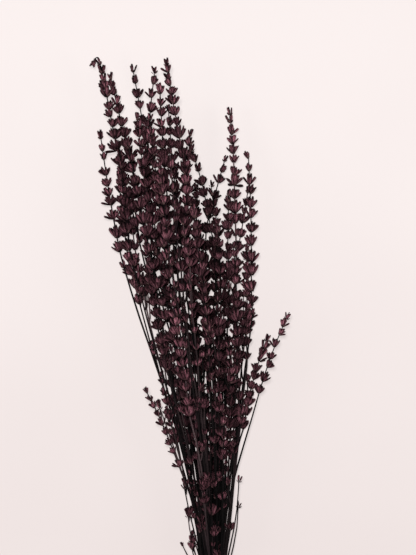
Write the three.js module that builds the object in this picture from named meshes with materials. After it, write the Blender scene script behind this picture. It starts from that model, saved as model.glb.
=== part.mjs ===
// A bunch of dried lavender lying on a table: long cut sprigs, held by a rubber band round their stems.
// Units are millimetres and +Z is up. The bunch lies along Y with its flowers towards +Y.
import * as THREE from "three";

// ---- Driving dimensions ----
const STEM_RADIUS = 1.0; // at the cut end
const STEM_TIP_RADIUS = 0.6; // at the top of the flower spike
const SIDES = 4; // a lavender stem is square
const STEM_GAP = 0.3; // between stems in the band
const TAIL = 62; // stem below the band
const TAIL_UNEVEN = 8; // how much the cut ends differ
const TAIL_SPLAY = 0.3; // how much wider the cut ends stand than the stems in the band
const PILE_HEIGHT = 50; // thickness of the lying bunch among its flowers
const PILE_FULL_AT = 330; // distance from the band at which it is that thick

// Whorls: rings of calyces round the stem, small and close at the tip, larger and wider apart below.
const WHORL_RADIUS_TIP = 2.6;
const WHORL_RADIUS_FULL = 5.6;
const WHORL_FULL_AT = 70; // distance below the tip
const SPRIG_GAP = WHORL_RADIUS_FULL / 11.2; // between sprigs above the band; large whorls press harder
const LONE_RADIUS = 2; // of a lone whorl among the stems
const WHORL_HEIGHT = 6.2; // from the whorl's foot to its crown
const WHORL_CLOSING = 1.6; // from a lone whorl's crown back to the stem
const WHORL_FOOT_SWELL = 0.35; // how much the foot stands out from the stem
const WHORL_LEAST_RADIUS = 1.7; // however crowded it is
const PITCH_TIP = 8.6; // from whorl to whorl at the tip
const PITCH_GROWTH = 0.42; // added to each next pitch down the spike
const PITCH_VARIES = 0.28; // how much closer or wider one sprig's whorls are than another's
const PITCH_UNEVEN = 0.22; // how much one pitch differs from the next
const TIP_LENGTH = 5; // the last bud, above the top whorl's foot

// Rubber band, wound into a few turns side by side.
const BAND_TURNS = 4;
const BAND_TURN_WIDTH = 1.8;
const BAND_THICKNESS = 1.4;
const BAND_CLEARANCE = 0.4;
const BAND_SEGMENTS = 28;
const BAND_HALF_WIDTH = (BAND_TURNS * BAND_TURN_WIDTH) / 2;

// Each sprig, as it lies: where its tip is across and along from the band, how far its middle bows
// sideways, how far its last third curls sideways, the length in flower, how high it lies in the pile,
// from 0 on the table to 1 on top, and where any lone whorls grow below its spike.
const SPRIGS = [
  // left edge
  [-103, 432, 4, 0, 134, 0.14],
  [-87, 396, 1, 0, 124, 0.05],
  [-103, 497, 8, -4, 180, 0.36],
  [-94, 484, 18, 0, 172, 0.22],
  [-62, 200, 11, -7, 74, 0.75],
  [-47, 214, 4, 0, 66, 0.32],
  [-27, 113, 3, 0, 8, 0.5],
  [-23, 87, 0, 0, 8, 0.7],
  [-20, 63, 0, 0, 14, 0.85],
  // tall spikes, left to right
  [-73, 490, 10, -3, 190, 0.42],
  [-52, 489, -14, 6, 186, 0.5],
  [-43, 496, 17, 0, 192, 0.55],
  [-48, 474, 0, 0, 170, 0.68],
  [-40, 455, 4, 0, 150, 0.46],
  [-20, 434, -8, 4, 150, 0.3],
  [-21, 419, 0, -24, 130, 0.36],
  [-15, 384, -3, 0, 112, 0.44],
  // right-hand spikes
  [15, 452, 10, 0, 124, 0.2],
  [14, 411, -4, 20, 140, 0.28],
  [14, 379, 2, 0, 150, 0.4],
  [-4, 387, 4, 0, 140, 0.24],
  [32, 412, 9, 0, 152, 0.16],
  [33, 383, -4, 5, 142, 0.08],
  [25, 328, 7, 0, 92, 0.02],
  [28, 287, 5, 0, 70, 0.45],
  [69, 268, -9, 10, 80, 0.55],
  [51, 247, -8, 8, 88, 0.1],
  [22, 119, 3, 0, 8, 0.6],
  [23, 96, 2, 0, 8, 0.35],
  // on top, over the middle
  [-76, 420, 14, 0, 188, 0.84],
  [-57, 444, 4, 0, 190, 0.8],
  [-68, 446, 6, 0, 160, 0.6],
  [-84, 415, 0, 0, 132, 0.5],
  [-39, 416, 4, 0, 170, 0.92],
  [-25, 413, 2, 0, 160, 0.7],
  [-48, 402, 6, 0, 178, 1.0, 112],
  [-19, 363, 8, 0, 150, 0.86],
  [-28, 352, 3, 0, 138, 0.98, 84],
  [-60, 334, 4, 0, 128, 0.76, 132, 93],
  [5, 345, 4, 0, 146, 0.74],
  [18, 331, 8, 0, 130, 0.6],
  [-9, 300, 5, 0, 118, 1.0, 150],
  [-36, 286, 6, 0, 112, 0.96],
  [4, 284, 2, 0, 104, 0.84],
  [12, 242, 4, 0, 108, 0.88],
  [-31, 239, 4, 0, 100, 0.9],
  [-15, 254, 3, 0, 100, 0.72],
  [20, 255, 8, 0, 92, 0.56],
  [-18, 194, 2, 0, 60, 1.0],
  [6, 194, 4, 0, 66, 0.96, 100],
  [17, 161, 4, 0, 28, 0.9],
  // underneath
  [-62, 424, 2, 0, 150, 0.1],
  [-34, 404, 0, 0, 150, 0.12],
  [-76, 372, 2, 0, 92, 0.26],
  [-47, 366, 0, 0, 150, 0.3],
  [-10, 348, 4, 0, 140, 0.1],
  [-55, 318, 2, 0, 130, 0.04],
  [6, 306, 4, 0, 120, 0.22],
  [-27, 322, 2, 0, 120, 0.2],
].map(([across, along, bow, curl, flowers, height, ...lone]) => {
  return { across, along, bow, curl, flowers, height, lone };
});

const clamp01 = (v) => Math.min(1, Math.max(0, v));
const smooth = (v) => clamp01(v) ** 2 * (3 - 2 * clamp01(v));
const mix = (a, b, t) => a + (b - a) * t;

// A value from -1 to 1 that is the same each time but has no pattern.
function uneven(n) {
  const s = Math.sin(n * 12.9898) * 43758.5453;
  return 2 * (s - Math.floor(s)) - 1;
}

// ---- Where each stem sits in the band: the places of a close pack, nearest its middle first ----
function bandPlaces(count) {
  const pitch = 2 * STEM_RADIUS + STEM_GAP;
  const column = pitch * Math.sin(Math.PI / 3);
  const reach = Math.ceil(Math.sqrt(count));
  const places = [];
  for (let c = -reach; c <= reach; c++)
    for (let r = -reach; r <= reach; r++)
      places.push({ column: c, x: c * column, z: (r + (c & 1) / 2) * pitch });
  const size = (p) => Math.hypot(p.x, p.z);
  return places.sort((a, b) => size(a) - size(b) || a.column - b.column || a.z - b.z).slice(0, count);
}

const places = bandPlaces(SPRIGS.length);
const bandInnerRadius = Math.max(...places.map((p) => Math.hypot(p.x, p.z))) + STEM_RADIUS + BAND_CLEARANCE;
const bandOuterRadius = bandInnerRadius + BAND_THICKNESS;

// Sprigs take the places from left to right and, in each column, from the bottom up, so none crosses.
function takePlaces() {
  const leftToRight = [...SPRIGS].sort((a, b) => a.across / a.along - b.across / b.along);
  const columns = [...new Set(places.map((p) => p.column))].sort((a, b) => a - b);
  for (const column of columns) {
    const here = places.filter((p) => p.column === column).sort((a, b) => a.z - b.z);
    const taken = leftToRight.splice(0, here.length).sort((a, b) => a.height - b.height);
    taken.forEach((sprig, i) => (sprig.place = here[i]));
  }
}
takePlaces();

// ---- A sprig's outline: its stem's radius, and the room its flowers take ----
SPRIGS.forEach((sprig, i) => {
  sprig.number = i + 1;
  sprig.tail = TAIL + TAIL_UNEVEN * uneven(sprig.number);
});

const stemRadius = (sprig, y) => mix(STEM_RADIUS, STEM_TIP_RADIUS, (y + sprig.tail) / (sprig.along + sprig.tail));

function flowerRadius(sprig, y) {
  const below = sprig.along - y;
  if (sprig.lone.some((foot) => Math.abs(y - foot - WHORL_HEIGHT / 2) < WHORL_HEIGHT)) return LONE_RADIUS;
  if (below < 0 || below > sprig.flowers) return 0;
  return mix(WHORL_RADIUS_TIP, WHORL_RADIUS_FULL, smooth(Math.sqrt(clamp01(below / WHORL_FULL_AT))));
}

const roomRadius = (sprig, y) => Math.max(stemRadius(sprig, y), flowerRadius(sprig, y));

// ---- A sprig's own curve, before it meets its neighbours ----
const FAN_EASE = 1.0; // above 1, stems stay together a little longer above the band
const FAN_SWAY = 0.08; // stems lean out most at the middle of their length
const CURL_FROM = 0.7; // the share of the length where the curl starts
const FAN_LIFT = 140; // distance from the band over which stems spread to their height in the pile

function ownCurve(sprig, y) {
  const past = Math.max(0, Math.abs(y) - BAND_HALF_WIDTH);
  if (y < 0) {
    const wider = 1 + (TAIL_SPLAY * past) / TAIL;
    return { x: sprig.place.x * wider, z: bandOuterRadius + sprig.place.z * wider };
  }
  const t = past / (sprig.along - BAND_HALF_WIDTH);
  const u = t ** FAN_EASE;
  const fan = u - FAN_SWAY * Math.sin(2 * Math.PI * u);
  const curl = sprig.curl * clamp01((t - CURL_FROM) / (1 - CURL_FROM)) ** 2;
  const x = mix(sprig.place.x, sprig.across - sprig.curl, fan) + sprig.bow * 4 * t * (1 - t) + curl;
  const thickness = mix(2 * bandOuterRadius, PILE_HEIGHT, smooth(past / PILE_FULL_AT));
  const room = roomRadius(sprig, y);
  const piled = room + sprig.height * (thickness - 2 * room);
  return { x, z: mix(bandOuterRadius + sprig.place.z, piled, smooth(past / FAN_LIFT)) };
}

// ---- Settling: every few millimetres along the bunch, sprigs that meet push each other apart ----
const STATION = 4; // distance between the cross-sections that are compared
const SETTLING_ROUNDS = 600;
const LAST_ROUNDS = 160; // of them, those that only push
const STEM_STIFFNESS = 0.3; // how much of a kink is evened out each round
const HOLDING_ACROSS = 0.012; // how firmly a sprig keeps its own place across the bunch
const HOLDING_UP = 0.002; // and its own height

const firstStation = Math.floor(-(TAIL + TAIL_UNEVEN) / STATION) - 1;
const lastStation = Math.ceil(Math.max(...SPRIGS.map((s) => s.along)) / STATION) + 1;
const stations = [];
for (let k = firstStation; k <= lastStation; k++) stations.push(k * STATION);

const inBand = stations.map((y) => Math.abs(y) < BAND_HALF_WIDTH + STATION);

for (const sprig of SPRIGS) {
  sprig.own = stations.map((y) => ownCurve(sprig, Math.min(y, sprig.along)));
  sprig.at = sprig.own.map((p) => ({ ...p }));
  sprig.room = stations.map((y) => roomRadius(sprig, Math.min(y, sprig.along)));
  sprig.here = stations.map((y) => y > -sprig.tail - STATION && y < sprig.along + STATION);
}

function pushApart(k) {
  const here = SPRIGS.filter((s) => s.here[k]);
  if (inBand[k]) return;
  here.forEach((a, i) => {
    for (let j = i + 1; j < here.length; j++) {
      const b = here[j];
      const dx = b.at[k].x - a.at[k].x;
      const dz = b.at[k].z - a.at[k].z;
      const apart = Math.hypot(dx, dz) || 1e-6;
      const short = a.room[k] + b.room[k] + SPRIG_GAP - apart;
      if (short <= 0) continue;
      const pushX = (dx / apart) * (short / 2);
      const pushZ = (dz / apart) * (short / 2);
      a.at[k].x -= pushX;
      a.at[k].z -= pushZ;
      b.at[k].x += pushX;
      b.at[k].z += pushZ;
    }
  });
  for (const s of here) s.at[k].z = Math.max(s.at[k].z, s.room[k]);
}

// A stem springs back towards a smooth curve; only its place in the band is fixed.
function evenOut(sprig) {
  for (const axis of ["x", "z"]) {
    const off = sprig.at.map((p, k) => p[axis] - sprig.own[k][axis]);
    for (let k = 0; k < stations.length; k++) {
      if (inBand[k] || !sprig.here[k]) continue;
      const before = sprig.here[k - 1] ? off[k - 1] : off[k];
      const after = sprig.here[k + 1] ? off[k + 1] : off[k];
      const holding = axis === "x" ? HOLDING_ACROSS : HOLDING_UP;
      const eased = off[k] + STEM_STIFFNESS * (before + after - 2 * off[k]);
      sprig.at[k][axis] = sprig.own[k][axis] + eased * (1 - holding);
    }
  }
}

for (let round = 0; round < SETTLING_ROUNDS; round++) {
  if (round < SETTLING_ROUNDS - LAST_ROUNDS) SPRIGS.forEach(evenOut);
  for (let k = 0; k < stations.length; k++) pushApart(k);
}

// Where two sprigs still crowd each other, their flowers give way: a stem never does.
function crowdedRooms() {
  for (let k = 0; k < stations.length; k++) {
    const here = SPRIGS.filter((s) => s.here[k]);
    here.forEach((a, i) => {
      for (const b of here.slice(i + 1)) {
        const apart = Math.hypot(b.at[k].x - a.at[k].x, b.at[k].z - a.at[k].z);
        const short = a.room[k] + b.room[k] + SPRIG_GAP - apart;
        if (short <= 0) continue;
        const spareA = a.room[k] - stemRadius(a, stations[k]);
        const spareB = b.room[k] - stemRadius(b, stations[k]);
        const shareA = spareA + spareB > 0 ? spareA / (spareA + spareB) : 0;
        a.room[k] -= Math.min(spareA, short * shareA);
        b.room[k] -= Math.min(spareB, short * (1 - shareA));
      }
    });
  }
}
crowdedRooms();

// ---- Reading the settled curve at any distance along the bunch ----
function settled(sprig, y, read) {
  const s = (y - stations[0]) / STATION;
  const k = Math.min(stations.length - 2, Math.max(0, Math.floor(s)));
  return mix(read(k), read(k + 1), s - k);
}
const across = (sprig, y) => settled(sprig, y, (k) => sprig.at[k].x);
const up = (sprig, y) => settled(sprig, y, (k) => sprig.at[k].z);

function roomNear(sprig, y, reach) {
  const from = Math.floor((y - reach - stations[0]) / STATION);
  const to = Math.ceil((y + reach - stations[0]) / STATION);
  return Math.min(...sprig.room.slice(Math.max(0, from), Math.min(stations.length, to + 1)));
}

// ---- A sprig's profile from its cut end to its tip, as radius and distance along ----
function whorlFeet(sprig) {
  const feet = [];
  let foot = sprig.along - TIP_LENGTH;
  let pitch = PITCH_TIP * (1 + PITCH_VARIES * uneven(sprig.number + 0.5));
  while (foot > sprig.along - sprig.flowers && foot > STATION * 3) {
    feet.unshift(foot);
    foot -= pitch * (1 + PITCH_UNEVEN * uneven(sprig.number + foot));
    pitch += PITCH_GROWTH;
  }
  return [...sprig.lone].sort((a, b) => a - b).concat(feet);
}

const STEM_STEP_AT_BAND = 9; // between rings on a bare stem next to the band
const STEM_STEP_GROWTH = 1.5; // added to each next step away from it
const STEM_STEP_MOST = 22;

// The bare stem has a ring at each edge of the band, and others outwards from there.
function stemRings(from, to) {
  const rings = [];
  const edge = BAND_HALF_WIDTH + BAND_CLEARANCE;
  let step = STEM_STEP_AT_BAND;
  for (let y = edge; y < to - STEM_STEP_AT_BAND / 2; y += step) {
    rings.push(y);
    step = Math.min(step + STEM_STEP_GROWTH, STEM_STEP_MOST);
  }
  for (let y = -edge; y > from + STEM_STEP_AT_BAND / 2; y -= STEM_STEP_MOST) rings.unshift(y);
  return [from, ...rings];
}

function profile(sprig) {
  const feet = whorlFeet(sprig);
  const points = [];
  const ring = (y, radius) => points.push(new THREE.Vector2(radius, y));
  feet.forEach((foot, i) => {
    const next = feet[i + 1] ?? sprig.along;
    const crown = foot + Math.min(WHORL_HEIGHT, (next - foot) * 0.72);
    const radius = Math.min(flowerRadius(sprig, foot), roomNear(sprig, crown, WHORL_HEIGHT / 2));
    ring(foot, stemRadius(sprig, foot) + WHORL_FOOT_SWELL);
    ring(crown, Math.max(radius, WHORL_LEAST_RADIUS));
    if (next - crown > 2 * WHORL_HEIGHT) ring(crown + WHORL_CLOSING, stemRadius(sprig, crown));
  });
  const clear = (y) => points.every((point) => Math.abs(point.y - y) > WHORL_HEIGHT / 2);
  const spikeFoot = feet[sprig.lone.length];
  const bare = stemRings(-sprig.tail, spikeFoot).filter(clear);
  bare.forEach((y) => ring(y, stemRadius(sprig, y)));
  ring(sprig.along, STEM_TIP_RADIUS / 2);
  points.sort((a, b) => a.y - b.y);
  points.unshift(new THREE.Vector2(0, -sprig.tail));
  points.push(new THREE.Vector2(0, sprig.along));
  return points;
}

// Turned about a straight stem, then bent sideways to the settled curve.
function sprigGeometry(sprig, roll) {
  const geometry = new THREE.LatheGeometry(profile(sprig), SIDES, roll);
  const position = geometry.getAttribute("position");
  for (let i = 0; i < position.count; i++) {
    const y = position.getY(i);
    position.setXYZ(i, position.getX(i) + across(sprig, y), y, position.getZ(i) + up(sprig, y));
  }
  geometry.computeVertexNormals();
  return geometry;
}

// ---- The rubber band ----
function bandGeometry() {
  const points = [new THREE.Vector2(bandInnerRadius, -BAND_HALF_WIDTH)];
  for (let turn = 0; turn < BAND_TURNS; turn++) {
    const start = -BAND_HALF_WIDTH + turn * BAND_TURN_WIDTH;
    points.push(new THREE.Vector2(bandInnerRadius + BAND_THICKNESS / 2, start));
    points.push(new THREE.Vector2(bandOuterRadius, start + BAND_TURN_WIDTH * 0.3));
    points.push(new THREE.Vector2(bandOuterRadius, start + BAND_TURN_WIDTH * 0.7));
  }
  points.push(new THREE.Vector2(bandInnerRadius + BAND_THICKNESS / 2, BAND_HALF_WIDTH));
  points.push(new THREE.Vector2(bandInnerRadius, BAND_HALF_WIDTH));
  points.push(points[0].clone());
  return new THREE.LatheGeometry(points, BAND_SEGMENTS);
}

// ---- The bunch ----
const lavenderMaterial = new THREE.MeshStandardMaterial({ color: 0x4a2c34, roughness: 0.85, metalness: 0 });
const bandMaterial = new THREE.MeshStandardMaterial({ color: 0x9c7a52, roughness: 0.6, metalness: 0 });

const bunch = new THREE.Group();
SPRIGS.forEach((sprig, i) => {
  const mesh = new THREE.Mesh(sprigGeometry(sprig, i * 0.9), lavenderMaterial);
  mesh.name = "sprig_" + String(i + 1).padStart(2, "0");
  bunch.add(mesh);
});

const band = new THREE.Mesh(bandGeometry(), bandMaterial);
band.name = "rubber_band";
band.position.z = bandOuterRadius;
bunch.add(band);

// The origin is on the table, under the middle of the whole bunch.
const box = new THREE.Box3().setFromObject(bunch);
const middle = box.getCenter(new THREE.Vector3());
bunch.position.set(-middle.x, -middle.y, -box.min.z);

export default bunch;
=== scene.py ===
"""A bunch of dried lavender lying on a pale table, seen from straight above.

Every sprig is a square stem with a long spike of flowers: rings of small felted calyces, close together
at the tip and further apart below. A rubber band wound round the stems holds the bunch.
"""

import math
import random

import bpy
from mathutils import Matrix, Vector


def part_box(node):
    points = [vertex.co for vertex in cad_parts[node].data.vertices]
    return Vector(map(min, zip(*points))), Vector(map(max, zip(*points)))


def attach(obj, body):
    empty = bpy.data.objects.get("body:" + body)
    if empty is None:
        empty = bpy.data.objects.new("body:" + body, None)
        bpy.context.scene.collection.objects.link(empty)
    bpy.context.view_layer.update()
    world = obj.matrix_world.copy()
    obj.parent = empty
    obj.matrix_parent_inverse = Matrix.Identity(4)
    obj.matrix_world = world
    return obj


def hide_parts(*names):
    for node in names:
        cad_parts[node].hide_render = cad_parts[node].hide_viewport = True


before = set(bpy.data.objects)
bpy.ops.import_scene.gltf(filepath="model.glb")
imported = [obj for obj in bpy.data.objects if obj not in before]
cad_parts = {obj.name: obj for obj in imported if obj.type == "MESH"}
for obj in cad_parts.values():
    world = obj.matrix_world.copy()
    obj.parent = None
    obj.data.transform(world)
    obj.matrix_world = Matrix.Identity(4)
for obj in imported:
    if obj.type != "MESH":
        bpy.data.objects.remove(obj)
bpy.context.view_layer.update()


# ---- The surface of a dry plant ----
# Everything on a dried sprig is matt and uneven: patches where it dried lighter or darker, and a fine
# grain of short hairs. The calyces, the bracts and the stems share it, each with its own colours.
def add_node(tree, kind, inputs=(), **settings):
    """A shader node; each input is given as a value or as another node's output to link it to."""
    node = tree.nodes.new(kind)
    for name, value in settings.items():
        setattr(node, name, value)
    for socket, value in dict(inputs).items():
        if isinstance(value, bpy.types.NodeSocket):
            tree.links.new(value, node.inputs[socket])
        else:
            node.inputs[socket].default_value = value
    return node


def dry_plant_group():
    """The uneven dry surface, as a group: two colours in patches, and hairs that roughen it."""
    tree = bpy.data.node_groups.new("Dry plant", "ShaderNodeTree")
    for name, kind in (
        ("Position", "NodeSocketVector"),
        ("Light colour", "NodeSocketColor"),
        ("Dark colour", "NodeSocketColor"),
        ("Patches per metre", "NodeSocketFloat"),
        ("Hairs per metre", "NodeSocketFloat"),
    ):
        tree.interface.new_socket(name=name, in_out="INPUT", socket_type=kind)
    for name, kind in (
        ("Colour", "NodeSocketColor"),
        ("Roughness", "NodeSocketFloat"),
        ("Height", "NodeSocketFloat"),
    ):
        tree.interface.new_socket(name=name, in_out="OUTPUT", socket_type=kind)
    given = tree.nodes.new("NodeGroupInput").outputs
    patches = add_node(
        tree,
        "ShaderNodeTexNoise",
        {"Vector": given["Position"], "Scale": given["Patches per metre"], "Detail": 3.0},
    )
    spread = add_node(
        tree,
        "ShaderNodeMapRange",
        {"Value": patches.outputs["Fac"], "From Min": 0.36, "From Max": 0.64},
    )
    hairs = add_node(
        tree,
        "ShaderNodeTexNoise",
        {"Vector": given["Position"], "Scale": given["Hairs per metre"], "Detail": 2.0},
    )
    colour = add_node(
        tree,
        "ShaderNodeMix",
        {0: spread.outputs["Result"], 6: given["Dark colour"], 7: given["Light colour"]},
        data_type="RGBA",
    )
    roughness = add_node(
        tree,
        "ShaderNodeMapRange",
        {"Value": hairs.outputs["Fac"], "To Min": 0.68, "To Max": 0.95},
    )
    out = tree.nodes.new("NodeGroupOutput")
    tree.links.new(colour.outputs[2], out.inputs["Colour"])
    tree.links.new(roughness.outputs["Result"], out.inputs["Roughness"])
    tree.links.new(hairs.outputs["Fac"], out.inputs["Height"])
    return tree


dry_plant = dry_plant_group()


def plant_material(name, light, dark, patches, hairs, stretch=(1, 1, 1)):
    """A material with the dry surface in it; returns it, its tree, the surface and the shader."""
    material = bpy.data.materials.new(name)
    material.use_nodes = True
    tree = material.node_tree
    shader = tree.nodes["Principled BSDF"]
    place = add_node(tree, "ShaderNodeTexCoord")
    position = add_node(
        tree,
        "ShaderNodeMapping",
        {"Vector": place.outputs["Object"], "Scale": stretch},
    )
    surface = add_node(
        tree,
        "ShaderNodeGroup",
        {
            "Position": position.outputs["Vector"],
            "Light colour": light,
            "Dark colour": dark,
            "Patches per metre": patches,
            "Hairs per metre": hairs,
        },
        node_tree=dry_plant,
    )
    tree.links.new(surface.outputs["Roughness"], shader.inputs["Roughness"])
    shader.inputs["Specular IOR Level"].default_value = 0.06
    return material, tree, surface, shader


# ---- Calyces ----
# A calyx is what is left of each flower once it has dried: a ribbed, felted tube, narrow where it sits
# on the stem, widest above its middle and closed by small teeth. Violet when fresh, burgundy when dry.
CALYX_LENGTH = 0.0067
CALYX_WIDTH = 0.0021
CALYX_SIDES = 8
# From foot to teeth: the share of the length, and of the greatest width.
CALYX_OUTLINE = ((0.0, 0.34), (0.14, 0.52), (0.38, 0.84), (0.64, 1.0), (0.86, 0.92), (1.0, 0.58))
CALYX_TOOTH = 0.0005
CALYX_RIB = 0.07  # how much its ridges stand out, and its grooves go in
CALYX_RIBS = 13
MOUTH_DEPTH = 0.12  # of the length
MOUTH_WIDTH = 0.45  # of the width between the teeth


def calyx_material():
    material, tree, surface, shader = plant_material(
        "Felted burgundy calyx",
        (0.104, 0.041, 0.051, 1),
        (0.047, 0.017, 0.022, 1),
        160,
        3000,
    )
    # The shade attribute sets each calyx's colour, from nearly black-brown to a greyer mauve: its own
    # random tone, with painted shade on its flanks, in the inner row and deep inside the bunch.
    own = add_node(tree, "ShaderNodeAttribute", attribute_name="shade")
    tone_and_shade = add_node(
        tree,
        "ShaderNodeMix",
        {0: own.outputs["Fac"], 6: (0.08, 0.06, 0.065, 1), 7: (2.5, 2.6, 2.65, 1)},
        data_type="RGBA",
    )
    toned_and_shaded = add_node(
        tree,
        "ShaderNodeMix",
        {0: 1.0, 6: surface.outputs["Colour"], 7: tone_and_shade.outputs[2]},
        data_type="RGBA",
        blend_type="MULTIPLY",
    )
    # Along a calyx: darkest at its foot, painted shade where the calyces crowd together on the stem,
    # and dark again at its teeth, which are darker in colour.
    along = add_node(tree, "ShaderNodeUVMap", uv_map="calyx")
    split = add_node(tree, "ShaderNodeSeparateXYZ", {"Vector": along.outputs["UV"]})
    darker_ends = add_node(tree, "ShaderNodeValToRGB", {"Fac": split.outputs["Y"]})
    ramp = darker_ends.color_ramp
    ramp.elements[0].position = 0.0
    ramp.elements[0].color = (0.16, 0.15, 0.15, 1)
    ramp.elements[1].position = 1.0
    ramp.elements[1].color = (0.55, 0.5, 0.5, 1)
    middle = ramp.elements.new(0.5)
    middle.color = (1.15, 1.12, 1.12, 1)
    with_painted_shade = add_node(
        tree,
        "ShaderNodeMix",
        {0: 1.0, 6: toned_and_shaded.outputs[2], 7: darker_ends.outputs["Color"]},
        data_type="RGBA",
        blend_type="MULTIPLY",
    )
    # Fine ribs run from foot to teeth, paler on their crests where the felt has rubbed.
    around = add_node(
        tree,
        "ShaderNodeMath",
        {0: split.outputs["X"], 1: CALYX_RIBS * 2 * math.pi},
        operation="MULTIPLY",
    )
    wave = add_node(tree, "ShaderNodeMath", {0: around.outputs[0]}, operation="SINE")
    ribs = add_node(
        tree,
        "ShaderNodeMapRange",
        {"Value": wave.outputs[0], "From Min": -1.0, "From Max": 1.0},
    )
    crest = add_node(
        tree,
        "ShaderNodeMix",
        {0: ribs.outputs["Result"], 6: (0.72, 0.68, 0.68, 1), 7: (1.22, 1.22, 1.22, 1)},
        data_type="RGBA",
    )
    ribbed = add_node(
        tree,
        "ShaderNodeMix",
        {0: 1.0, 6: with_painted_shade.outputs[2], 7: crest.outputs[2]},
        data_type="RGBA",
        blend_type="MULTIPLY",
    )
    tree.links.new(ribbed.outputs[2], shader.inputs["Base Color"])
    height = add_node(
        tree,
        "ShaderNodeMath",
        {0: surface.outputs["Height"], 1: 0.35, 2: ribs.outputs["Result"]},
        operation="MULTIPLY_ADD",
    )
    bump = add_node(
        tree,
        "ShaderNodeBump",
        {"Height": height.outputs[0], "Strength": 0.7, "Distance": 0.00012},
    )
    tree.links.new(bump.outputs["Normal"], shader.inputs["Normal"])
    return material


def model_calyx(name, bend, plump):
    """One calyx standing on the origin, its mouth up, drawn out ring by ring and then shaped."""
    half = CALYX_WIDTH / 2 * plump
    bpy.ops.object.select_all(action="DESELECT")
    bpy.ops.mesh.primitive_circle_add(
        vertices=CALYX_SIDES, radius=half * CALYX_OUTLINE[0][1], fill_type="NGON"
    )
    calyx = bpy.context.object
    calyx.name = name
    bpy.ops.object.mode_set(mode="EDIT")
    bpy.ops.mesh.select_all(action="SELECT")
    for (low, narrow), (high, wide) in zip(CALYX_OUTLINE, CALYX_OUTLINE[1:]):
        rise = (high - low) * CALYX_LENGTH
        bpy.ops.mesh.extrude_region_move(TRANSFORM_OT_translate={"value": (0, 0, rise)})
        bpy.ops.transform.resize(value=(wide / narrow, wide / narrow, 1))
    # The mouth goes in a little between the teeth.
    sunk = -MOUTH_DEPTH * CALYX_LENGTH
    bpy.ops.mesh.extrude_region_move(TRANSFORM_OT_translate={"value": (0, 0, sunk)})
    bpy.ops.transform.resize(value=(MOUTH_WIDTH, MOUTH_WIDTH, 1))
    bpy.ops.mesh.select_all(action="SELECT")
    bpy.ops.mesh.normals_make_consistent(inside=False)
    bpy.ops.mesh.faces_shade_smooth()
    bpy.ops.object.mode_set(mode="OBJECT")

    data = calyx.data
    # Every other edge is a ridge that ends in a tooth, and the whole tube bends a little.
    for vertex in data.vertices:
        x, y, z = vertex.co
        side = round(math.atan2(y, x) / (2 * math.pi) * CALYX_SIDES)
        ridge = 1 + (CALYX_RIB if side % 2 else -CALYX_RIB)
        if z > 0.98 * CALYX_LENGTH:
            z += CALYX_TOOTH if side % 2 else -CALYX_TOOTH
        vertex.co = (x * ridge + bend * (z / CALYX_LENGTH) ** 2, y * ridge, z)
    # Round the calyx and along it, for its ribs.
    around = data.uv_layers.new(name="calyx")
    for face in data.polygons:
        turns = []
        for corner in face.loop_indices:
            x, y, z = data.vertices[data.loops[corner].vertex_index].co
            turns.append(math.atan2(y, x - bend * (z / CALYX_LENGTH) ** 2) / (2 * math.pi) % 1)
        wraps = max(turns) - min(turns) > 0.5
        for corner, turn in zip(face.loop_indices, turns):
            z = data.vertices[data.loops[corner].vertex_index].co.z
            if wraps and turn < 0.5:
                turn += 1
            around.data[corner].uv = (turn, min(1, max(0, z / CALYX_LENGTH)))
    data.attributes.new("shade", "FLOAT", "POINT")
    data.materials.append(calyx_dry)
    return calyx


calyx_dry = calyx_material()
calyces = [
    model_calyx("calyx_straight", 0.0, 1.0),
    model_calyx("calyx_slim", -0.0007, 0.84),
    model_calyx("calyx_bent", 0.0008, 0.95),
    model_calyx("calyx_full", -0.0004, 1.14),
]


# ---- Bracts ----
# Under every ring of calyces sit two papery bracts, brown and pointed, that once covered the buds. They
# are as thin as paper and bent inwards like scales.
BRACT_LENGTH = 0.0042
BRACT_WIDTH = 0.0034
BRACT_THICKNESS = 0.00018


def model_bract():
    """One bract standing on the origin, bent inwards like a scale, with its hollow towards -X."""
    bpy.ops.object.select_all(action="DESELECT")
    bpy.ops.mesh.primitive_grid_add(x_subdivisions=4, y_subdivisions=4, size=1)
    bract = bpy.context.object
    bract.name = "bract"
    bpy.ops.object.mode_set(mode="EDIT")
    bpy.ops.mesh.select_all(action="SELECT")
    bpy.ops.transform.translate(value=(0, 0.5, 0))
    bpy.ops.transform.resize(value=(BRACT_WIDTH, BRACT_LENGTH, 1), center_override=(0, 0, 0))
    bpy.ops.mesh.faces_shade_smooth()
    bpy.ops.object.mode_set(mode="OBJECT")
    # Widest at its middle and pointed, rounded outwards along it and hollow across.
    for vertex in bract.data.vertices:
        across, along = vertex.co.x / (BRACT_WIDTH / 2), vertex.co.y / BRACT_LENGTH
        wide = (0.35 + 1.3 * along) if along < 0.5 else 2.0 * (1 - along) ** 0.8
        wide = max(0.04, min(1.0, wide))
        out = 0.0012 * math.sin(along * 2.4) - 0.0008 * (across * wide) ** 2
        vertex.co = (out, across * wide * BRACT_WIDTH / 2, along * BRACT_LENGTH)
    thick = bract.modifiers.new("thickness", "SOLIDIFY")
    thick.thickness = BRACT_THICKNESS
    bpy.ops.object.modifier_apply(modifier=thick.name)
    bract.data.uv_layers.new(name="calyx")
    bract.data.attributes.new("shade", "FLOAT", "POINT")
    bract.data.materials.append(bract_dry)
    return bract


def bract_material():
    material, tree, surface, shader = plant_material(
        "Papery brown bract", (0.06, 0.032, 0.031, 1), (0.025, 0.012, 0.013, 1), 240, 2600
    )
    bump = add_node(
        tree,
        "ShaderNodeBump",
        {"Height": surface.outputs["Height"], "Strength": 0.5, "Distance": 0.0001},
    )
    tree.links.new(surface.outputs["Colour"], shader.inputs["Base Color"])
    tree.links.new(bump.outputs["Normal"], shader.inputs["Normal"])
    return material


bract_dry = bract_material()
bract_scale = model_bract()


# ---- Whorls ----
# Calyces grow in rings round the stem, called whorls, of up to seventeen: an outer row that leans out
# and an inner one that stands up. At the tip of a spike the whorls are small and their calyces upright.

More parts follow.
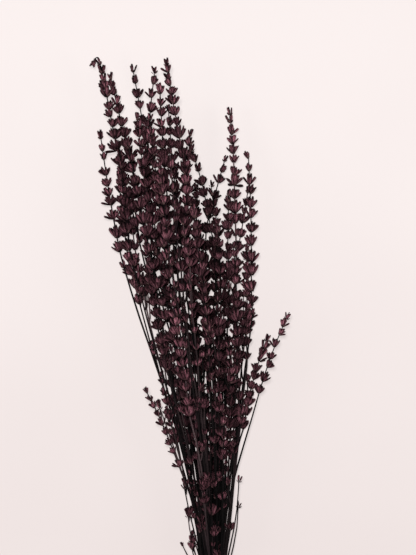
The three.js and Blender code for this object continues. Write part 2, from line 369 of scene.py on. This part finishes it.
# How many outer calyces and their lean, how many inner ones and their lean, how wide and how long one
# is against the usual, and how far from the middle of the stem the outer ones stand.
WHORL_KINDS = {
    "full": ((10, 11), (20, 48), (5, 6), (4, 20), 1.02, 1.28, 0.0014),
    "middle": ((8, 9), (16, 40), (4, 5), (4, 18), 0.98, 1.08, 0.0013),
    "small": ((5, 6), (12, 30), (1, 2), (4, 12), 0.95, 1.0, 0.0009),
    "bud": ((3, 3), (8, 20), (1, 1), (0, 8), 0.88, 0.94, 0.0007),
}
WHORL_VARIANTS = 6
STEM_SURFACE = 0.0007  # from the middle of the stem to the foot of a calyx
INNER_LIFT = 0.0007
# Painted shade: on its flanks a calyx keeps only this share of its outer side's colour.
FLANK_SHADE = 0.03  # how much of the outer side's colour a calyx has on its flanks
SPLAYED = 0.035  # the share of outer calyces that stand out sideways
CALYX_SIZES = (0.86, 1.12)  # of single calyces, against the usual


def joined(name, parts):
    """The parts as one new object at the origin, each part's own place taken into its mesh."""
    whole = bpy.data.objects.new(name, bpy.data.meshes.new(name))
    bpy.context.scene.collection.objects.link(whole)
    bpy.ops.object.select_all(action="DESELECT")
    for part in parts:
        part.select_set(True)
    whole.select_set(True)
    bpy.context.view_layer.objects.active = whole
    bpy.ops.object.join()
    return whole


def copy_of(source, place):
    """A copy with a mesh of its own, at the place that the matrix gives."""
    made = source.copy()
    made.data = source.data.copy()
    made.matrix_world = place
    bpy.context.scene.collection.objects.link(made)
    return made


def turned(degrees, axis):
    return Matrix.Rotation(math.radians(degrees), 4, axis)


def model_whorl(kind, chance):
    """A whorl standing on the origin with the stem along Z: two rows of calyces over two bracts."""
    outer, outer_lean, inner, inner_lean, width, length, cup = WHORL_KINDS[kind]
    parts = []
    for row, count, leans, out in (
        (0, chance.randint(*outer), outer_lean, cup),
        (1, chance.randint(*inner), inner_lean, STEM_SURFACE),
    ):
        start = chance.uniform(0, 360)
        for i in range(count):
            lean = chance.uniform(*leans)
            if row == 0 and kind != "bud" and chance.random() < SPLAYED:
                lean += chance.uniform(14, 34)
            place = (
                turned(start + 360 * i / count + chance.uniform(-14, 14), "Z")
                @ Matrix.Translation((out, 0, row * INNER_LIFT + chance.uniform(-4e-4, 6e-4)))
                @ turned(lean, "Y")
                @ turned(chance.uniform(-8, 8), "X")
                @ turned(chance.choice((0, 180)) + chance.uniform(-25, 25), "Z")
                @ Matrix.Scale(chance.uniform(*CALYX_SIZES), 4)
                @ Matrix.Diagonal((width, width, length, 1))
            )
            part = copy_of(chance.choice(calyces), place)
            # Painted shade: each calyx is lightest on the side that faces away from the stem, and nearly
            # black on its flanks and inside, where its neighbours would shade it.
            outwards = place.translation.copy()
            outwards.z = 0
            outwards.normalize()
            # Each calyx has its own random paleness, and the inner row is darker by painted shade, behind
            # the outer one.
            bleach_and_shade = chance.uniform(0.25, 1) * (1.0 if row == 0 else 0.8)
            shades = []
            for v in part.data.vertices:
                facing = max(0, (place.to_3x3() @ v.normal).normalized().dot(outwards))
                shades.append(bleach_and_shade * (FLANK_SHADE + (1 - FLANK_SHADE) * facing))
            part.data.attributes["shade"].data.foreach_set("value", shades)
            parts.append(part)
    # The two bracts stand under the calyces, one on each side of the stem.
    for side in (0, 180):
        place = (
            turned(side + chance.uniform(-12, 12), "Z")
            @ Matrix.Translation((STEM_SURFACE * 1.3, 0, -0.0004))
            @ turned(chance.uniform(16, 34), "Y")
            @ Matrix.Scale(width * chance.uniform(0.8, 1.05), 4)
        )
        parts.append(copy_of(bract_scale, place))
    return joined("whorl_" + kind, parts)


whorls = {
    kind: [model_whorl(kind, random.Random(kind + str(i))) for i in range(WHORL_VARIANTS)]
    for kind in WHORL_KINDS
}


# ---- Sprigs: where each one lies ----
# The sprigs keep the courses they have in the design: each cross-section gives the middle of the stem,
# and a wide section after a narrow one is a whorl. Deep inside the bunch it is dark.
WHORL_LEAST = 0.00165  # the least radius of a section that is a whorl
SLICE = 0.02  # along the bunch, of which the middle and the spread are worked out
FULLNESS = 1.45  # from the usual distance from the middle to the edge, in an evenly filled bunch
UNDER_SHADE = 0.04  # how much of their colour the plants deep inside the bunch have
SIDE_LIGHT = 0.83  # how light the sides of the bunch are, against its top
LIGHT_FALL = 1.9  # how fast it gets dark towards the middle
FREE_TIPS = (0.13, 0.23)  # along the bunch: where the spikes part, and where each stands alone
FREE_LIGHT = 0.8  # the least light that a spike standing alone gets
NECK_LIGHT = 0.7  # how light it is next to the band
NECK_LENGTH = 0.24  # from the band to where it is as light as elsewhere
band_low, band_high = (Vector(corner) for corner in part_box("rubber_band"))
band_middle = (band_low + band_high) / 2


def sections_of(node):
    """The sprig's cross-sections from cut end to tip: the middle and the radius of each."""
    rings = {}
    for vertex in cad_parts[node].data.vertices:
        x, y, z = vertex.co
        rings.setdefault(round(y, 6), set()).add((round(x, 6), round(z, 6)))
    sections = []
    for y in sorted(rings):
        corners = rings[y]
        x = sum(c[0] for c in corners) / len(corners)
        z = sum(c[1] for c in corners) / len(corners)
        radius = max(math.hypot(c[0] - x, c[1] - z) for c in corners)
        sections.append((Vector((x, y, z)), radius))
    return sections


def slices_of_bunch(sprigs):
    """For each slice of the bunch: its middle, and how far it reaches from there sideways and up."""
    slices = {}
    for sections in sprigs.values():
        for middle, _ in sections:
            slices.setdefault(round(middle.y / SLICE), []).append(middle)
    found = {}
    for number, places in slices.items():
        if len(places) > 3:
            middle = sum(places, Vector()) / len(places)
            spread = []
            for axis in range(3):
                squares = sum((place[axis] - middle[axis]) ** 2 for place in places)
                spread.append(FULLNESS * math.sqrt(squares / len(places)))
            found[number] = (middle, Vector(spread))
    return found


def in_the_light(place):
    """From UNDER_SHADE deep inside the bunch or under it to 1 on its top and sides."""
    middle, spread = bunch[min(max(bunch), max(min(bunch), round(place.y / SLICE)))]
    aside = SIDE_LIGHT * (place.x - middle.x) / spread.x
    up = max(0, (place.z - middle.z) / spread.z)
    free = FREE_LIGHT * min(1, (place.y - FREE_TIPS[0]) / (FREE_TIPS[1] - FREE_TIPS[0]))
    outer = min(1, max(free, math.hypot(aside, up) ** LIGHT_FALL))
    neck = min(1, NECK_LIGHT + (1 - NECK_LIGHT) * (place.y - band_high.y) / NECK_LENGTH)
    return neck * (UNDER_SHADE + (1 - UNDER_SHADE) * outer)


sprigs = {node: sections_of(node) for node in sorted(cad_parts) if node.startswith("sprig_")}
bunch = slices_of_bunch(sprigs)


# ---- Side stalks ----
# Thin stalks fork off a sprig and run along it, each with a few small whorls near its end. They fill
# the inside of the bunch, and a few short ones low down point away from it. The left edge of the bunch
# has more of them than its right edge.

# For each kind: where it forks off, from the band on, how long it is, and how much it rises.
LONG_STALK = ((0.012, 0.13), (0.03, 0.13), (-0.2, 1.4))
SHORT_STALK = ((0.03, 0.2), (0.008, 0.03), (-0.2, 1.4))
DEEP_STALK = ((0.16, 0.34), (0.012, 0.035), (-1.4, 0.2))
STALKS_OF_A_SPRIG = (
    (LONG_STALK, SHORT_STALK, SHORT_STALK, DEEP_STALK),
    (LONG_STALK, LONG_STALK, SHORT_STALK, DEEP_STALK),
    (LONG_STALK, LONG_STALK, LONG_STALK, SHORT_STALK, DEEP_STALK, DEEP_STALK),
)
STALK_STEPS = (0, 0.12, 0.3, 0.5, 0.7, 0.85, 1)  # shares of its length
STALK_RADII = (0.0007, 0.0007, 0.00065, 0.0006, 0.00055, 0.0005, 0.00045)
STALK_HEIGHTS = (0.0025, 0.057)  # the lowest and the highest, above the table
STALK_LEAVES = (0.002, 0.009)  # how far its end stands off the sprig
EDGE_STEMS = 0.016  # how far from the middle of the bunch the outer stems run
LOW_SPRIG = 0.06  # beyond the band, where a sprig is told to be at the left or the right edge
AT_EDGE = 0.6  # of EDGE_STEMS
LEAN_OUT = 0.4  # the share of short low stalks that point away from the bunch
LEAN_OUT_LENGTH = 0.05


def side_stalks(sections, chance):
    """The side stalks of a sprig, as lists of points."""
    stalks = []
    wanted = chance.choice(STALKS_OF_A_SPRIG)
    tip = sections[-1][0]
    low = next((middle for middle, _ in sections if middle.y > band_high.y + LOW_SPRIG), tip)
    if low.x - band_middle.x < -AT_EDGE * EDGE_STEMS:
        wanted += (LONG_STALK,)
    if low.x - band_middle.x > AT_EDGE * EDGE_STEMS:
        wanted = tuple(kind for kind in wanted if kind is not LONG_STALK)
    for forks_off, length, rise in wanted:
        start = band_high.y + chance.uniform(*forks_off)
        below = [middle for middle, _ in sections if middle.y < start]
        above = [middle for middle, _ in sections if middle.y >= start]
        if not below or len(above) < 3:
            continue
        along = (above[0] - below[-1]).normalized()
        foot = below[-1] + along * ((start - below[-1].y) / along.y)
        reach = min(chance.uniform(*length), 0.8 * (tip.y - start))
        # Most of those at the edge of the bunch stay with it.
        edge = max(-1, min(1, (foot.x - band_middle.x) / EDGE_STEMS))
        short_and_low = reach < LEAN_OUT_LENGTH and start < band_high.y + LOW_SPRIG
        outwards = chance.random() < LEAN_OUT and short_and_low
        aside = chance.uniform(-1, 1) * (1 - abs(edge)) - edge * (-1 if outwards else 1)
        aside = Vector((aside, 0, chance.uniform(*rise)))
        aside.normalize()
        leave = min(0.35 * reach, chance.uniform(*STALK_LEAVES))
        stalk = []
        for t in STALK_STEPS:
            point = foot + along * reach * t + aside * leave * t**0.6
            point.z = min(max(point.z, STALK_HEIGHTS[0]), STALK_HEIGHTS[1])
            stalk.append(point)
        stalks.append(stalk)
    return stalks


# ---- Flower spikes ----
# The whorls sit one above the other on the stem, each turned by chance, and shrink towards the tip,
# which ends in a few closed buds. Low on a spike many calyces have fallen off.
FULL_FROM = 0.062  # below the tip
MIDDLE_FROM = 0.026
SMALL_FROM = 0.009
SPARSE_FROM = 0.06  # from here down more and more whorls have only a few calyces
SPARSE_GROWTH = 4.5  # how much their share grows with each metre below that
# These lost most of their calyces between two places below the tip, so that their stems show.
NEARLY_BARE = {
    "flowers_34": (0.02, 0.1),
    "flowers_36": (0.08, 0.18),
    "flowers_38": (0.045, 0.125),
    "flowers_42": (0.035, 0.105),
}
SHORT_SPIKE = 0.085  # shorter ones are slender
SLENDER = 0.84
SPIKE_SHADES = (0.72, 1.25)  # how much one sprig's flowers are paler or darker than another's
WHORL_SHADES = (0.78, 1.28)
WHORL_SIZES = (0.86, 1.15)
WHORL_TILT = 15
STALK_WHORL_SIZES = (0.55, 0.9)
PRESSED_BELOW = 0.002  # calyces lower than this are squashed, down to TOUCHING
PRESSED_DEPTH = 0.01
TOUCHING = 0.0002


def whorl_at(place, kind, own, chance):
    """A copy of a whorl of that kind, with the light and shade of the place it goes to."""
    part = copy_of(chance.choice(whorls[kind]), place)
    shades = part.data.attributes["shade"].data
    values = [0.0] * len(shades)
    shades.foreach_get("value", values)
    # Painted shade: the whorl's calyces are darker deep inside the bunch and lighter on its top and
    # sides.
    with_painted_shade = own * in_the_light(place.translation)
    shades.foreach_set("value", [value * with_painted_shade for value in values])
    return part


def pointed_along(low, high):
    """The turn that takes a whorl's axis into the direction from low to high."""
    return Vector((0, 0, 1)).rotation_difference((high - low).normalized()).to_matrix().to_4x4()


def model_spike(name, sections, stalks, chance):
    """All the whorls of a sprig as one piece, those on its side stalks too."""
    tip = sections[-1][0]
    own = chance.uniform(*SPIKE_SHADES)
    steps = list(zip(sections, sections[1:]))
    lowest = next((foot for (foot, _), (_, wide) in steps if wide >= WHORL_LEAST), sections[0][0])
    size = SLENDER if tip.y - lowest.y < SHORT_SPIKE else 1
    bare_from, bare_to = NEARLY_BARE.get(name, (0, 0))
    parts = []
    for (foot, narrow), (crown, wide) in steps:
        if wide < WHORL_LEAST or wide < narrow:
            continue
        below = tip.y - foot.y
        kind = "bud"
        for edge, larger in ((SMALL_FROM, "small"), (MIDDLE_FROM, "middle"), (FULL_FROM, "full")):
            if below > edge:
                kind = larger
        if chance.random() < SPARSE_GROWTH * (below - SPARSE_FROM):
            kind = chance.choice(("bud", "small", "middle"))
        if bare_from < below < bare_to:
            kind = "bud"
        place = (
            Matrix.Translation(foot + (crown - foot).normalized() * chance.uniform(-0.0016, 0.001))
            @ pointed_along(foot, crown)
            @ turned(chance.uniform(-WHORL_TILT, WHORL_TILT), "X")
            @ turned(chance.uniform(-WHORL_TILT, WHORL_TILT), "Y")
            @ turned(chance.uniform(0, 360), "Z")
            @ Matrix.Scale(size * chance.uniform(*WHORL_SIZES), 4)
        )
        parts.append(whorl_at(place, kind, own * chance.uniform(*WHORL_SHADES), chance))
    for stalk in stalks:
        for low, high in list(zip(stalk, stalk[1:]))[-chance.choice((1, 1, 2, 3)):]:
            place = (
                Matrix.Translation(high)
                @ pointed_along(low, high)
                @ turned(chance.uniform(0, 360), "Z")
                @ Matrix.Scale(chance.uniform(*STALK_WHORL_SIZES), 4)
            )
            parts.append(whorl_at(place, chance.choice(("bud", "small", "middle")), own, chance))
    spike = joined(name, parts)
    # Calyces that reach the table are pressed flat on it.
    for v in spike.data.vertices:
        if v.co.z < PRESSED_BELOW:
            left = max(0, 1 - (PRESSED_BELOW - v.co.z) / PRESSED_DEPTH)
            v.co.z = TOUCHING + (PRESSED_BELOW - TOUCHING) * left
    return spike


# ---- Stems ----
# A lavender stem is square, with a rounded ridge on each corner and a groove along each face; it is
# stiff, grey-brown and thinner towards the tip. The ends were cut straight across and bleach a little.
STEM_SECTION_POINTS = 12
STEM_RIDGE = 0.12
STEM_FOOT_RADIUS = 0.00108
STEM_TIP_RADIUS = 0.0005
STEM_TWIST = 1.2  # from the cut end to the tip
SHARP_EDGE = 50  # degrees
PALENESS = (0.08, 0.12, 0.2, 0.35, 0.7, 1.4)  # a few stems are pale and most are dark
TIP_PALER = 1.3
STEM_SHADE = 1.6  # how much faster than the flowers the stems get dark inside the bunch
CUT_END = 0.11  # how far up from the cut the stems are bleached, most over the first half of that
CUT_END_PALER = 1.6
CUT_END_PALENESS = 0.4
BENT_SPRIG = "sprig_03"  # its last bud hangs over to the left
BENT_TIP = (
    (0.0, -0.003, 0.0),
    (-0.0002, -0.0004, 0.0002),
    (-0.001, 0.0012, 0.0004),
    (-0.0022, 0.0016, 0.0005),
    (-0.0034, 0.001, 0.0004),
    (-0.0042, -0.0002, 0.0002),
    (-0.0047, -0.0014, 0.0),
)


def stem_material():
    material, tree, surface, shader = plant_material(
        "Dry grey-brown stem",
        (0.034, 0.022, 0.023, 1),
        (0.006, 0.003, 0.004, 1),
        60,
        1800,
        (1, 0.06, 1),
    )
    # The shade attribute darkens each stem: its own paleness, a paler tip and bleached cut end, and
    # painted shade deep inside the bunch.
    own = add_node(tree, "ShaderNodeAttribute", attribute_name="shade")
    shaded = add_node(
        tree,
        "ShaderNodeMix",
        {0: 1.0, 6: surface.outputs["Colour"], 7: own.outputs["Color"]},
        data_type="RGBA",
        blend_type="MULTIPLY",
    )
    tree.links.new(shaded.outputs[2], shader.inputs["Base Color"])
    bump = add_node(
        tree,
        "ShaderNodeBump",
        {"Height": surface.outputs["Height"], "Strength": 0.6, "Distance": 0.0001},
    )
    tree.links.new(bump.outputs["Normal"], shader.inputs["Normal"])
    return material


def stem_section():
    """The square cross-section that every stem is drawn with, of radius 1."""
    outline = bpy.data.curves.new("stem_section", "CURVE")
    outline.dimensions = "2D"
    spline = outline.splines.new("POLY")
    spline.points.add(STEM_SECTION_POINTS - 1)
    for i, point in enumerate(spline.points):
        angle = 2 * math.pi * i / STEM_SECTION_POINTS
        reach = 1 + STEM_RIDGE * math.cos(4 * angle) - STEM_RIDGE
        point.co = (reach * math.cos(angle), reach * math.sin(angle), 0, 1)
    spline.use_cyclic_u = True
    section = bpy.data.objects.new("stem_section", outline)
    bpy.context.scene.collection.objects.link(section)
    return section


def model_stem(name, sections, stalks, turn, paleness):
    """A sprig's stem and side stalks as one piece: the square section drawn along their courses."""
    line = bpy.data.curves.new(name, "CURVE")
    line.dimensions = "3D"
    line.bevel_mode = "OBJECT"
    line.bevel_object = square
    line.use_fill_caps = True
    line.twist_mode = "Z_UP"
    spline = line.splines.new("POLY")
    cut, tip = sections[0][0].y, sections[-1][0].y
    spline.points.add(len(sections) - 1)
    for point, (middle, _) in zip(spline.points, sections):
        share = (middle.y - cut) / (tip - cut)
        point.co = (*middle, 1)
        point.radius = STEM_FOOT_RADIUS + (STEM_TIP_RADIUS - STEM_FOOT_RADIUS) * share**2
        point.tilt = turn + STEM_TWIST * share
    for stalk in stalks:
        spline = line.splines.new("POLY")
        spline.points.add(len(stalk) - 1)
        for point, middle, radius in zip(spline.points, stalk, STALK_RADII):
            point.co = (*middle, 1)
            point.radius = radius
    stem = bpy.data.objects.new(name, line)
    bpy.context.scene.collection.objects.link(stem)
    bpy.ops.object.select_all(action="DESELECT")
    stem.select_set(True)
    bpy.context.view_layer.objects.active = stem
    bpy.ops.object.convert(target="MESH")
    stem = bpy.context.object
    stem.data.materials.clear()
    stem.data.materials.append(stem_dry)
    bpy.ops.object.mode_set(mode="EDIT")
    bpy.ops.mesh.select_all(action="SELECT")
    bpy.ops.mesh.remove_doubles(threshold=1e-6)
    bpy.ops.mesh.normals_make_consistent(inside=False)
    bpy.ops.object.mode_set(mode="OBJECT")
    bpy.ops.object.shade_smooth_by_angle(angle=math.radians(SHARP_EDGE))
    shades = []
    for v in stem.data.vertices:
        share = (v.co.y - cut) / (tip - cut)
        # Near its cut end a stem is bleached, and there the painted shade inside the bunch is lighter
        # too.
        bleach_and_shade = min(1, 2 * max(0, 1 - (v.co.y - cut) / CUT_END))
        paler = 0.7 + TIP_PALER * share**2 + CUT_END_PALER * bleach_and_shade
        own = paler * (paleness + CUT_END_PALENESS * bleach_and_shade)
        shades.append(own * in_the_light(v.co) ** (STEM_SHADE - bleach_and_shade))
    stem.data.attributes.new("shade", "FLOAT", "POINT").data.foreach_set("value", shades)
    return stem


stem_dry = stem_material()
square = stem_section()
for node, sections in sprigs.items():
    number = node[-2:]
    chance = random.Random("sprig" + number)
    stalks = side_stalks(sections, chance)
    if node == BENT_SPRIG:
        stalks.append([sections[-1][0] + Vector(step) for step in BENT_TIP])
    paleness = chance.choice(PALENESS)
    for piece in (
        model_spike("flowers_" + number, sections, stalks, chance),
        model_stem("stem_" + number, sections, stalks, chance.uniform(0, 1.5), paleness),
    ):
        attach(piece, "root")
        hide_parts(node)

# The pieces that the sprigs were copied from and drawn with are used up.
for source in [square, bract_scale, *calyces, *(w for kind in whorls.values() for w in kind)]:
    bpy.data.objects.remove(source)


# ---- Rubber band ----
# A natural rubber band, wound round the stems a few times below the flowers. Its last turn lies slantwise
# over the others, and where it meets the table it is pressed flat.
BAND_TURNS = 4
BAND_POINTS = 48
BAND_SIDES = 10
BAND_HALF_THICKNESS = 0.00072
BAND_SUNK = 0.0007  # how much deeper the turns lie than the one over them
TURN_FILLS = 0.62  # half a turn's width against its share of the band
LAST_TURN_WIDER = 1.2
LAST_TURN_SLANT = 0.42  # of the band's width, to each side
BAND_ON_TABLE = 0.00015


def band_material():
    material = bpy.data.materials.new("Natural rubber")
    material.use_nodes = True
    tree = material.node_tree
    shader = tree.nodes["Principled BSDF"]
    place = add_node(tree, "ShaderNodeTexCoord")
    bloom = add_node(
        tree,
        "ShaderNodeTexNoise",
        {"Vector": place.outputs["Object"], "Scale": 300.0, "Detail": 4.0},
    )
    colour = add_node(
        tree,
        "ShaderNodeMix",
        {0: bloom.outputs["Fac"], 6: (0.3, 0.17, 0.075, 1), 7: (0.46, 0.29, 0.14, 1)},
        data_type="RGBA",
    )
    roughness = add_node(
        tree, "ShaderNodeMapRange", {"Value": bloom.outputs["Fac"], "To Min": 0.35, "To Max": 0.6}
    )
    bump = add_node(
        tree,
        "ShaderNodeBump",
        {"Height": bloom.outputs["Fac"], "Strength": 0.3, "Distance": 0.0001},
    )
    tree.links.new(colour.outputs[2], shader.inputs["Base Color"])
    tree.links.new(roughness.outputs["Result"], shader.inputs["Roughness"])
    tree.links.new(bump.outputs["Normal"], shader.inputs["Normal"])
    return material


def model_band():
    """Turns side by side, each a closed ring, with the last laid slantwise over the others."""
    width = (band_high.y - band_low.y) / BAND_TURNS
    outer = (band_high.x - band_low.x) / 2
    parts = []
    for turn in range(BAND_TURNS + 1):
        over = turn == BAND_TURNS
        bpy.ops.object.select_all(action="DESELECT")
        bpy.ops.mesh.primitive_torus_add(
            major_segments=BAND_POINTS,
            minor_segments=BAND_SIDES,
            major_radius=outer - (0.0 if over else BAND_SUNK),
            minor_radius=BAND_HALF_THICKNESS,
            location=(0, 0, 0),
        )
        ring = bpy.context.object
        bpy.ops.object.mode_set(mode="EDIT")
        bpy.ops.mesh.select_all(action="SELECT")
        wider = LAST_TURN_WIDER if over else width * TURN_FILLS / BAND_HALF_THICKNESS
        bpy.ops.transform.resize(value=(1, 1, wider))
        bpy.ops.transform.rotate(value=math.pi / 2, orient_axis="X", center_override=(0, 0, 0))
        bpy.ops.mesh.faces_shade_smooth()
        bpy.ops.object.mode_set(mode="OBJECT")
        for vertex in ring.data.vertices:
            x, y, z = vertex.co
            if over:
                y += (band_high.y - band_low.y) * LAST_TURN_SLANT * x / outer + band_middle.y
            else:
                y += band_low.y + width * (turn + 0.5)
            vertex.co = (x + band_middle.x, y, max(z + band_middle.z, BAND_ON_TABLE))
        parts.append(ring)
    band = joined("band", parts)
    band.data.materials.clear()
    band.data.materials.append(rubber)
    return band


rubber = band_material()
band = model_band()
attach(band, "root")
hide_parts("rubber_band")


# ---- Table ----
# A plain pale table top, faintly pink. Its brightness is painted light: it glows of itself though it
# is no lamp, so that the shadows under the bunch stay pale, most at its far end.
TABLE_SIZE = 6.0
TABLE_GLOW = 0.635


def table_material():
    material = bpy.data.materials.new("Pale table")
    material.use_nodes = True
    tree = material.node_tree
    shader = tree.nodes["Principled BSDF"]
    shader.inputs["Base Color"].default_value = (0.16, 0.144, 0.141, 1)
    shader.inputs["Roughness"].default_value = 0.9
    shader.inputs["Specular IOR Level"].default_value = 0.1
    place = add_node(tree, "ShaderNodeTexCoord")
    # Painted light: the glow comes in soft brighter and dimmer patches and grows towards the far end.
    glow_patches = add_node(
        tree,
        "ShaderNodeTexNoise",
        {"Vector": place.outputs["Object"], "Scale": 5.0, "Detail": 1.0},
    )
    split = add_node(tree, "ShaderNodeSeparateXYZ", {"Vector": place.outputs["Object"]})
    far = add_node(
        tree,
        "ShaderNodeMapRange",
        {"Value": split.outputs["Y"], "From Min": -0.15, "From Max": 0.3, "To Min": 0.0, "To Max": 0.8},
    )
    glow = add_node(
        tree,
        "ShaderNodeMath",
        {0: glow_patches.outputs["Fac"], 1: 0.5, 2: far.outputs["Result"]},
        operation="MULTIPLY_ADD",
    )
    shade = add_node(
        tree,
        "ShaderNodeMix",
        {0: glow.outputs[0], 6: (0.84, 0.745, 0.73, 1), 7: (1.02, 0.94, 0.925, 1)},
        data_type="RGBA",
    )
    tree.links.new(shade.outputs[2], shader.inputs["Emission Color"])
    shader.inputs["Emission Strength"].default_value = TABLE_GLOW
    return material


bpy.ops.mesh.primitive_plane_add(size=TABLE_SIZE, location=(0, 0, 0))
table = bpy.context.object
table.name = "table"
table.data.materials.append(table_material())


# ---- Light and camera ----
# Soft daylight from all round, a broad panel low at each side, and one round soft lamp above, a little
# towards the flowers' tips. The camera looks straight down on the upper part of the bunch.
WALLS_LOOK = 0.85
WALLS_LIGHT = 0.1  # the walls look pale, but little of their light reaches the table
PANEL_SIZE = 0.9
PANEL_POWER = 13
PANEL_PLACE = (1.25, 0.1, 0.55)
LAMP_SIZE = 0.3
LAMP_POWER = 51
LAMP_PLACE = (-0.07, 0.27, 1.9)
CAMERA_HEIGHT = 1.6
PILE_MIDDLE = 0.03
SEEN_HEIGHT = 0.4995  # along the bunch, at the middle of the pile
SEEN_FROM_BAND = (-0.0045, 0.29925)  # from the band to the middle of what is seen
scene = bpy.context.scene


def aimed(thing, place, at):
    """Sets a lamp or a panel at its place, shining at a point."""
    thing.location = place
    thing.rotation_euler = (Vector(at) - thing.location).to_track_quat("-Z", "Y").to_euler()
    scene.collection.objects.link(thing)


world = bpy.data.worlds.new("daylight")
scene.world = world
world.use_nodes = True
sky = world.node_tree.nodes["Background"]
sky.inputs["Color"].default_value = (1.0, 0.93, 0.915, 1)
seen = add_node(world.node_tree, "ShaderNodeLightPath")
strength = add_node(
    world.node_tree,
    "ShaderNodeMapRange",
    {"Value": seen.outputs["Is Camera Ray"], "To Min": WALLS_LIGHT, "To Max": WALLS_LOOK},
)
world.node_tree.links.new(strength.outputs["Result"], sky.inputs["Strength"])

for name, side in (("left", -1), ("right", 1)):
    panel_data = bpy.data.lights.new(name + "_panel", "AREA")
    panel_data.size = PANEL_SIZE
    panel_data.energy = PANEL_POWER
    panel = bpy.data.objects.new(name + "_panel", panel_data)
    aimed(panel, (side * PANEL_PLACE[0], *PANEL_PLACE[1:]), (0, 0, 0))

lamp_data = bpy.data.lights.new("lamp", "AREA")
lamp_data.shape = "DISK"
lamp_data.size = LAMP_SIZE
lamp_data.energy = LAMP_POWER
aimed(bpy.data.objects.new("lamp", lamp_data), LAMP_PLACE, (0, 0.05, 0))

camera_data = bpy.data.cameras.new("camera")
camera_data.lens = camera_data.sensor_width * (CAMERA_HEIGHT - PILE_MIDDLE) / SEEN_HEIGHT
camera_data.clip_end = 20
camera = bpy.data.objects.new("camera", camera_data)
camera.location = (
    band_middle.x + SEEN_FROM_BAND[0],
    band_middle.y + SEEN_FROM_BAND[1],
    CAMERA_HEIGHT,
)
scene.collection.objects.link(camera)
scene.camera = camera
scene.view_settings.view_transform = "Standard"
